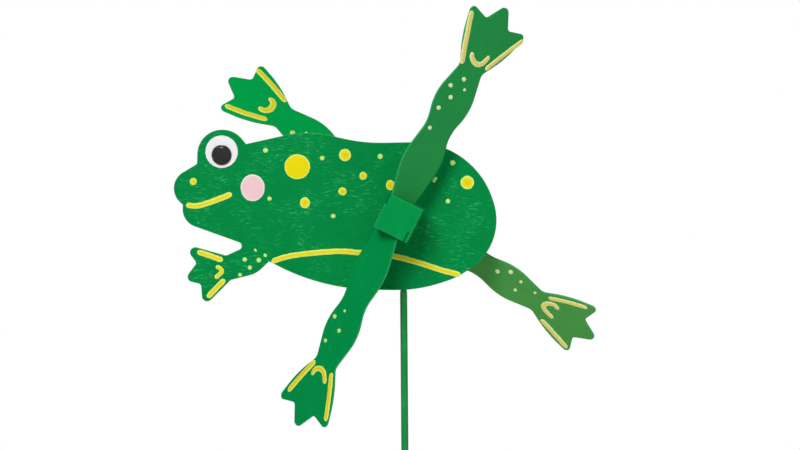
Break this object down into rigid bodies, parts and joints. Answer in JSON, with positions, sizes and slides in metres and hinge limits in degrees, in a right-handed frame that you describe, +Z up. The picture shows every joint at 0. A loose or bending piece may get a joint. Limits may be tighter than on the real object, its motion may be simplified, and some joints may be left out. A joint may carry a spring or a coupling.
{
  "type": "frog whirligig",
  "caption": "Flat wooden frog on a garden stick, with webbed propeller legs on an axle that spin in the wind.",
  "frame": {"origin": "middle of the lower end of the stick", "axes": "+Z up along the stick, the frog faces -X, its decorated front faces -Y, the axle lies along Y"},
  "size_m": [0.2336, 0.0883, 0.421],
  "materials": {
    "green_paint": "brushed green craft paint on plywood",
    "green_paint_leg": "smooth green craft paint on plywood",
    "green_paint_hub": "green craft paint on solid wood",
    "green_paint_stick": "green craft paint on a round stick",
    "bare_wood": "bare beech",
    "brass": "drawn tube",
    "white_plastic": "gloss white",
    "black_plastic": "matt black",
    "clear_plastic": "clear moulded dome"
  },
  "bodies": {
    "frog": {"body_plate": "green_paint", "bearing_tube": "brass", "stick": "green_paint_stick", "eye_back": "white_plastic", "eye_pupil": "black_plastic", "eye_dome": "clear_plastic"},
    "rotor": {"axle": "bare_wood", "front_bead": "green_paint_hub", "rear_bead": "green_paint_hub", "front_hub": "green_paint_hub", "rear_hub": "green_paint_hub", "front_upper_leg": "green_paint_leg", "front_lower_leg": "green_paint_leg", "rear_upper_leg": "green_paint_leg", "rear_lower_leg": "green_paint_leg"}
  },
  "joints": [
    {"name": "rotor_spin", "type": "hinge", "parent": "frog", "child": "rotor", "pos_m": [0, -0.0029, 0.308], "axis": [0, 1, 0], "continuous": true}
  ]
}
